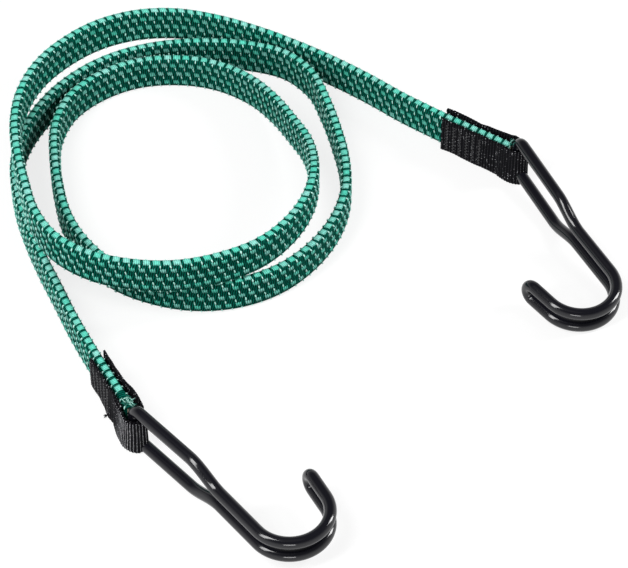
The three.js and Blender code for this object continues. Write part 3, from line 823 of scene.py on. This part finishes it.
def makeBulge(name):
    look, chance = bulgeLook[name], np.random.default_rng(bulgeLook["seed"] + len(name))
    foot, head = (smoothLine(np.array(look[part]) * mm, bulgeLook["steps"]) for part in ("foot", "head"))
    run = runAlong(foot)
    count, q = int(run[-1] / tabSurface["along"]), widthShares(bulgeLook["columns"])
    even = np.linspace(0, run[-1], count)
    foot, head = (np.stack([np.interp(even, run, line[:, k]) for k in (0, 1)], 1)[:, None]
                  for line in (foot, head))
    lean = np.clip(q * bulgeLook["leanSlope"], 0, 1)[None, :, None]
    plan = foot * (1 - lean) + head * lean
    way = np.gradient(plan, axis=0)
    way /= np.linalg.norm(way, axis=2)[..., None]
    normal = np.stack([way[..., 1], -way[..., 0]], -1)
    wave = wavyEdge(chance, count, bulgeLook["waves"], bulgeLook["footWave"])
    low = bulgeLook["ground"] + np.abs(wave)
    high = tabLook["width"] + (look["top"] - tabLook["width"]) * np.clip(even / bulgeLook["settle"], 0, 1)
    high = high - np.abs(wave[::-1]) * bulgeLook["topWave"]
    height = (low[:, None] + (high - low)[:, None] * q)[..., None]
    turns = 2 * math.pi * even[:, None] / tabLook["ribPitch"]
    ribs = np.cos(turns + bulgeLook["ribWander"] * np.sin(bulgeLook["ribWaves"] * q))
    ribs = bulgeLook["ribDepth"] * (ribs - 1) / 2
    fromEnds = np.minimum(even / bulgeLook["startTaper"], (even[-1] - even) / bulgeLook["endTaper"])
    taper = bulgeLook["thinnest"] + (1 - bulgeLook["thinnest"]) * np.clip(fromEnds, 0, 1) ** 0.5
    half = bulgeLook["thickness"] / 2 * edgeShape(q, bulgeLook["edgePower"], bulgeLook["edgeThinning"])
    half = half * taper[:, None]
    outer = np.concatenate([plan + normal * (half + ribs)[..., None], height], -1)
    inner = np.concatenate([plan - normal * half[..., None], height], -1)
    # white dots on the rib crests, worn fibres and painted glints, growing from a set distance into the fold
    wearAndGlint = look["wearAndGlint"] * np.clip((even - look["wearAndGlintStart"]) / bulgeLook["wearAndGlintSpread"], 0, 1)
    bulge = makeBand(f"{name}_tab_fold", name, outer, inner, even, q, tabSurface["wearAndGlint"] + wearAndGlint, flip=True)
    turnStart, turnEnd = (tuple(endFrame(name) @ Vector((x * mm, y * mm, 0)))
                          for x, y in (look["turnStart"], look["turnEnd"]))
    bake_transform(bulge)
    return bulge


bulges = {name: makeBulge(name) for name in ends}
print("webbing tabs folded")


# threads: stitching through the flaps, frayed ends and loose yarns, all as thin tubes
def tubePoints(line, radii, sides):
    # rings of points round a line, and then the line's two ends
    way = np.gradient(line, axis=0)
    way /= np.linalg.norm(way, axis=1)[:, None]
    normal = np.array([0.0, 0.0, 1.0])
    turns = np.linspace(0, 2 * math.pi, sides, endpoint=False)[:, None]
    rings = []
    for point, along, radius in zip(line, way, radii):
        normal = normal - along * np.dot(normal, along)
        if np.linalg.norm(normal) < 1e-6:
            normal = np.cross(along, (0.3, 0.8, 0.5))  # for a line that starts straight up
        normal /= np.linalg.norm(normal)
        side = np.cross(along, normal)
        rings.append(point + radius * (np.cos(turns) * normal + np.sin(turns) * side))
    return np.vstack([*rings, line[0], line[-1]])


threadLook = {
    "radius": 0.20 * mm, "sides": 6, "taper": (0.6, 1, 1, 1, 0.6), "zigzagColumns": 6,
    "firstColumn": -36.5 * mm, "columnStep": 3.6 * mm, "zigzagWidth": 1.5 * mm,
    "rise": 0.95 * mm, "low": 2.2 * mm, "high": 18.6 * mm,
    "jitter": 0.08 * mm, "proud": 0.02 * mm, "sink": 0.16 * mm, "seed": 31,
}
blackThreadLook = {
    "deep": (0.012, 0.012, 0.014), "crest": (0.06, 0.06, 0.065), "roughness": 0.5,
    "fibreSize": 2600.0, "bump": 0.5, "bumpDepth": 0.05 * mm,
}
greenThreadLook = {
    **blackThreadLook, "deep": (0.0005, 0.02, 0.014), "crest": (0.015, 0.36, 0.26), "roughness": 0.6,
}
blackThread = makeFibreMaterial("blackThread", blackThreadLook)


def threadPiece(pieceName, name, threads, material, slotName):
    # all of a tab's threads of one kind, from lines in the tab's own frame
    points, faces, first = [], [], 0
    for line, radii in threads:
        points.append(tubePoints(line, radii, threadLook["sides"]))
        faces += [group + first for group in tubeFaces(len(line), threadLook["sides"])]
        first += len(points[-1])
    points = toFrame(endFrame(name), np.vstack(points))
    return place(makePiece(pieceName, points, faces, material), "strap", slotName)


def makeStitches(name):
    chance, look = np.random.default_rng(threadLook["seed"] + len(name)), threadLook
    face = tabLook["flapOffset"] + tabLook["thickness"] / 2 + look["proud"]
    dip = look["sink"] * (np.sin(np.linspace(0, math.pi, len(look["taper"]))) - 1)
    threads = []
    for side in (1, -1):
        for column in range(look["zigzagColumns"]):
            centre = look["firstColumn"] + column * look["columnStep"]
            for k in range(int((look["high"] - look["low"]) / look["rise"])):
                swing = (1 if k % 2 else -1) * look["zigzagWidth"] / 2
                (aX, aZ), (bX, bZ) = chance.normal(0, look["jitter"], (2, 2))
                foot = look["low"] + k * look["rise"]
                x = np.linspace(centre + swing + aX, centre - swing + bX, len(dip))
                z = np.linspace(foot + aZ, foot + look["rise"] + bZ, len(dip))
                bow = footBow(ends[name], x, z / tabLook["width"]) if side < 0 else 0
                threads.append((np.stack([x, side * (face + bow + dip), z], 1),
                                look["radius"] * np.array(look["taper"])))
    return threadPiece(f"{name}_tab_stitching", name, threads, blackThread, "tab_webbing")


stitches = {name: makeStitches(name) for name in ends}
print("tabs stitched")

# yarn ends that have worked loose where the sleeve is cut, and a tuft on the left tab's lower edge
looseLook = {
    "pale": {"right": 3, "left": 10}, "dark": {"right": 8, "left": 30}, "seed": 61,
    "back": {"right": 2 * mm, "left": 6.5 * mm}, "over": {"pale": 0.55 * mm, "dark": 0},
    "radius": 0.17 * mm, "reach": (1.6 * mm, 4 * mm), "nearest": 0.1, "sideways": 1.9 * mm,
    "sunk": 0.25 * mm, "wayFrom": (-0.2, -0.9, 0.1), "wayTo": (1, 0.9, 0.6), "sag": 0.9 * mm,
    "steps": 8, "bow": 0.25, "girth": (0.7, 1.1), "taper": (1.1, 0.6), "stopShort": -3.2 * mm,
    "ground": 0.25 * mm,
}
tuftLook = {
    "place": (-18.7 * mm, -5.2 * mm, 0.8 * mm), "count": 14, "reach": (0.8 * mm, 2.2 * mm),
    "spread": (0.6, 0.5), "rise": 0.2, "sag": 0.3 * mm, "seed": 71,
}


def looseThread(start, way, reach, sag, chance):
    t = np.linspace(0, 1, looseLook["steps"])[:, None]
    bow = chance.normal(0, looseLook["bow"], 3) * reach
    line = start + way / np.linalg.norm(way) * reach * t + bow * np.sin(math.pi * t) * 0.5
    line = line - np.array([0, 0, sag]) * t ** 2
    line[:, 0] = np.minimum(line[:, 0], looseLook["stopShort"])
    line[:, 2] = np.maximum(line[:, 2], looseLook["ground"])
    girth = looseLook["radius"] * chance.uniform(*looseLook["girth"])
    return line, girth * np.linspace(*looseLook["taper"], len(t))


def makeLoose(name, kind, material):
    chance = np.random.default_rng(looseLook["seed"] + len(name) + len(kind))
    top = strapLook["endHeight"] + strapLook["width"] - looseLook["sunk"] + looseLook["over"][kind]
    threads = []
    for _ in range(looseLook[kind][name]):
        back = strapLook["endSetback"] + chance.uniform(looseLook["nearest"], 1) * looseLook["back"][name]
        start = np.array([-back, chance.uniform(-1, 1) * looseLook["sideways"], top])
        way = chance.uniform(looseLook["wayFrom"], looseLook["wayTo"])
        reach = chance.uniform(*looseLook["reach"])
        threads.append(looseThread(start, way, reach, looseLook["sag"], chance))
    return threadPiece(f"{name}_{kind}_yarn_ends", name, threads, material, "strap_weave")


def makeTuft():
    chance, start = np.random.default_rng(tuftLook["seed"]), np.array(tuftLook["place"])
    threads = []
    for _ in range(tuftLook["count"]):
        along, up = chance.normal((0, tuftLook["rise"]), tuftLook["spread"])
        way = np.array([along, -1, up])
        reach = chance.uniform(*tuftLook["reach"])
        threads.append(looseThread(start, way, reach, tuftLook["sag"], chance))
    return threadPiece("left_tab_tuft", "left", threads, blackThread, "tab_webbing")


greenThread = makeFibreMaterial("greenThread", greenThreadLook)
looseEnds = {name: [makeLoose(name, "pale", tieYarn), makeLoose(name, "dark", greenThread)] for name in ends}
tabTuft = makeTuft()
print("loose yarns laid")

# hooks: one wire bent double, dipped in glossy vinyl
hookLook = {
    "radius": 2.85 * mm, "eyeSpacing": 19.2 * mm, "eyeCorner": 4.5 * mm, "eyeLeg": 37 * mm,
    "neck": 20.5 * mm, "shank": 25.5 * mm, "shankSpacing": 8.4 * mm, "bendRadius": 17.2 * mm, "tip": 15 * mm,
    "neckTurnDegrees": 3.6, "bendTurnDegrees": 169.5, "wireGap": 1 * mm, "sides": 28, "barSteps": 4,
    "cornerSteps": 8, "tipSteps": 14, "endCover": 0.35 * mm, "domeSteps": 5, "domeStart": 0.35,
    "thinning": 0.06 * mm, "tipSpread": 11 * mm, "ground": 0.02 * mm,
}
vinylLook = {
    "black": (0.004, 0.004, 0.007), "worn": (0.008, 0.008, 0.012), "roughness": 0.12, "cloudRoughness": 0.04,
    "fuzzSize": 420.0, "scuffDensity": 420.0, "scuffReach": 0.10, "scuffRoughness": 0.04,
    "bump": 0.05, "bumpDepth": 0.2 * mm,
}
steelLook = {
    "deep": (0.36, 0.37, 0.38), "crest": (0.62, 0.63, 0.64), "metallic": 1.0, "roughness": 0.34,
    "fibreSize": 900.0, "stretch": 8.0, "bump": 0.3, "bumpDepth": 0.03 * mm,
}


def hookHalf():
    # from the crossbar's middle to the tip, as the solid has it but in finer steps
    corner, start = hookLook["eyeCorner"], hookLook["wireGap"] / 2
    bar, wide = hookLook["eyeSpacing"] / 2 - corner, hookLook["eyeSpacing"]
    neckTurn, bendTurn = (math.radians(hookLook[turn]) for turn in ("neckTurnDegrees", "bendTurnDegrees"))
    legs = [
        (hookLook["eyeLeg"] - corner, 0, 12), (hookLook["neck"], -neckTurn, 21), (hookLook["shank"], 0, 8),
        (hookLook["bendRadius"] * bendTurn, bendTurn, 45),
        (hookLook["tip"] - hookLook["shankSpacing"] / 2, 0, 4),
    ]
    line = [(0, 0, z) for z in np.linspace(start, bar, hookLook["barSteps"] + 1)[:-1]]
    for turn in np.linspace(0, math.pi / 2, hookLook["cornerSteps"] + 1):
        line.append((corner * (1 - math.cos(turn)), 0, bar + corner * math.sin(turn)))
    x, y, heading, run = corner, 0.0, 0.0, corner
    for length, turn, steps in legs:
        for _ in range(steps):
            heading += turn / steps / 2
            x += length / steps * math.cos(heading)
            y += length / steps * math.sin(heading)
            run += length / steps
            heading += turn / steps / 2
            share = ease((run - hookLook["eyeLeg"]) / hookLook["neck"])
            line.append((x, y, (wide + (hookLook["shankSpacing"] - wide) * share) / 2))
    return np.array(line), heading


def hookLine(side):
    half, heading = hookHalf()
    reach = hookLook["shankSpacing"] / 2
    turns = np.linspace(0, math.pi, hookLook["tipSteps"] + 1)[1:-1]
    out = reach * np.sin(turns)
    tip = np.stack([half[-1, 0] + out * math.cos(heading), half[-1, 1] + out * math.sin(heading),
                    reach * np.cos(turns)], 1)
    return np.vstack([half, tip, half[::-1] * np.array([1, 1, -1])]) * np.array([1, side, 1])


def makeVinyl(look):
    material, tree, shader = newMaterial("dippedVinyl", {"Roughness": look["roughness"]})
    coords, fuzz = objectFuzz(tree, look["fuzzSize"])
    scuff = useGroup(tree, speckles, {"Vector": coords, "Density": look["scuffDensity"],
                                        "Reach": look["scuffReach"]})["Speck"]
    tree.links.new(mixColour(tree, fuzz["Cloud"], look["black"], look["worn"]), shader["Base Color"])
    smooth = look["roughness"] - look["cloudRoughness"] / 2
    rough = mathNode(tree, "MULTIPLY_ADD", fuzz["Cloud"], look["cloudRoughness"], smooth)
    rough = mathNode(tree, "ADD", rough, mathNode(tree, "MULTIPLY", scuff, look["scuffRoughness"]))
    tree.links.new(rough, shader["Roughness"])
    setBump(tree, shader, fuzz["Cloud"], look["bump"], look["bumpDepth"])
    return material


dippedVinyl, wireSteel = makeVinyl(vinylLook), makeFibreMaterial("wireSteel", steelLook)


def makeHook(name):
    end = ends[name]
    line = hookLine(end["turn"])
    run = runAlong(line)
    nearTip = np.exp(-((run - run[-1] / 2) / hookLook["tipSpread"]) ** 2)
    radii = hookLook["radius"] - hookLook["thinning"] * (1 - nearTip)  # the dip runs thicker at the tip
    left = 1 - np.arange(hookLook["domeSteps"])[:, None] / hookLook["domeSteps"]
    dome = line[0] - np.array([0, 0, hookLook["endCover"]]) * left
    domeRadii = radii[0] * np.array([hookLook["domeStart"], *(1 - left[1:, 0] ** 4) ** 0.25])
    line = np.vstack([dome, line, dome[::-1] * np.array([1, 1, -1])])
    radii = np.concatenate([domeRadii, radii, domeRadii[::-1]])
    turned = Matrix.Translation(Vector(joints[end["joint"]]["pos_m"]))
    turned = turned @ Matrix.Rotation(math.radians(end["hookDegrees"]), 4, "Z")
    turned = turned @ Matrix.Rotation(end["droop"], 4, "Y")
    points = toFrame(turned, tubePoints(line, radii, hookLook["sides"]))
    points[:, 2] = np.maximum(points[:, 2], hookLook["ground"])
    hook = makePiece(f"{name}_hook_vinyl", points, tubeFaces(len(line), hookLook["sides"]), dippedVinyl)
    wire = frame["nodes"][f"{name}_hook_wire"]
    wire.data.materials.clear()
    wire.data.materials.append(wireSteel)
    return place(hook, f"{name}_hook", "hook_vinyl", f"{name}_hook_coating")


hooks = {name: makeHook(name) for name in ends}
print("hooks dipped")

# floor, world and lamps
studio = {
    "floorHalf": 6, "floorBounce": 0.35, "floorShown": 0.25, "floorGlow": 0.8,
    "worldFill": 0.26, "horizon": 1.0, "zenith": 0.1, "wallLow": 0.05, "wallHigh": 0.65,
    "key": {"place": (-0.53, -0.34, 1.018), "aim": (0, 0, 0), "size": (0.28, 0.56), "watts": 6.2},
    "twin": {"place": (-0.8, -0.55, 0.705), "aim": (0, 0, 0), "size": (0.24, 0.4), "watts": 3.2},
    "soft": {"place": (-0.35, -0.15, 1.5), "aim": (0, 0.02, 0), "size": (1.3, 1.3), "watts": 0.8},
    "front": {"place": (0.0, -1.33, 0.33), "aim": (0, 0, 0), "size": (0.5, 0.28), "watts": 3.7},
    "side": {"place": (1.02, 0.25, 0.6), "aim": (0, 0, 0), "size": (0.24, 0.56), "watts": 8},
}


def makeFloor():
    # pale and glowing where the camera or a mirror sees it, and a plain grey to every other ray
    material = bpy.data.materials.new("paleFloor")
    material.use_nodes = True
    tree = material.node_tree
    tree.nodes.clear()
    rays = addNode(tree, "LightPath").outputs
    seen = mathNode(tree, "MAXIMUM", rays["Is Camera Ray"], rays["Is Glossy Ray"])
    seen = mathNode(tree, "MAXIMUM", seen, rays["Is Transmission Ray"])
    bounce, shown = (addNode(tree, "BsdfDiffuse", {"Color": (*[studio[part]] * 3, 1)}).outputs[0]
                     for part in ("floorBounce", "floorShown"))
    glow = addNode(tree, "Emission", {"Strength": studio["floorGlow"]}).outputs[0]
    pair = addNode(tree, "AddShader", {0: shown, 1: glow}).outputs[0]
    mix = addNode(tree, "MixShader", {0: seen, 1: bounce, 2: pair}).outputs[0]
    addNode(tree, "OutputMaterial", {0: mix})
    corners = ((-1, -1), (1, -1), (1, 1), (-1, 1))
    points = [(x * studio["floorHalf"], y * studio["floorHalf"], 0) for x, y in corners]
    mesh = bpy.data.meshes.new("floor")
    mesh.from_pydata(points, [], [(0, 1, 2, 3)])
    mesh.materials.append(material)
    addObject("floor", mesh)


def makeWorld():
    world = bpy.data.worlds.new("studioWorld")
    world.use_nodes = True
    tree = world.node_tree
    rays = addNode(tree, "LightPath").outputs
    seen = mathNode(tree, "MAXIMUM", rays["Is Camera Ray"], rays["Is Transmission Ray"])
    ray = addNode(tree, "SeparateXYZ", {0: addNode(tree, "TexCoord").outputs["Generated"]}).outputs
    wall = addNode(tree, "MapRange", {
        "Value": ray[2], "From Min": studio["wallLow"], "From Max": studio["wallHigh"],
        "To Min": studio["horizon"], "To Max": studio["zenith"]}).outputs[0]
    mirrored = {0: rays["Is Glossy Ray"], 2: studio["worldFill"], 3: wall}
    mirrored = addNode(tree, "Mix", mirrored, data_type="FLOAT").outputs[0]
    strength = addNode(tree, "Mix", {0: seen, 2: mirrored, 3: 1.0}, data_type="FLOAT")
    background = tree.nodes["Background"].inputs
    background["Color"].default_value = (1, 1, 1, 1)
    tree.links.new(strength.outputs[0], background["Strength"])
    scene.world = world


def makeLamp(name, look):
    data = bpy.data.lights.new(name, "AREA")
    data.shape, data.energy = "RECTANGLE", look["watts"]
    data.size, data.size_y = look["size"]
    lamp = addObject(name, data)
    lamp.location = look["place"]
    lamp.rotation_euler = (Vector(look["aim"]) - lamp.location).to_track_quat("-Z", "Y").to_euler()


makeFloor()
makeWorld()
for lampName in ("key", "twin", "soft", "front", "side"):
    makeLamp(lampName + "Lamp", studio[lampName])
scene.view_settings.view_transform = "Standard"
print("studio lit")
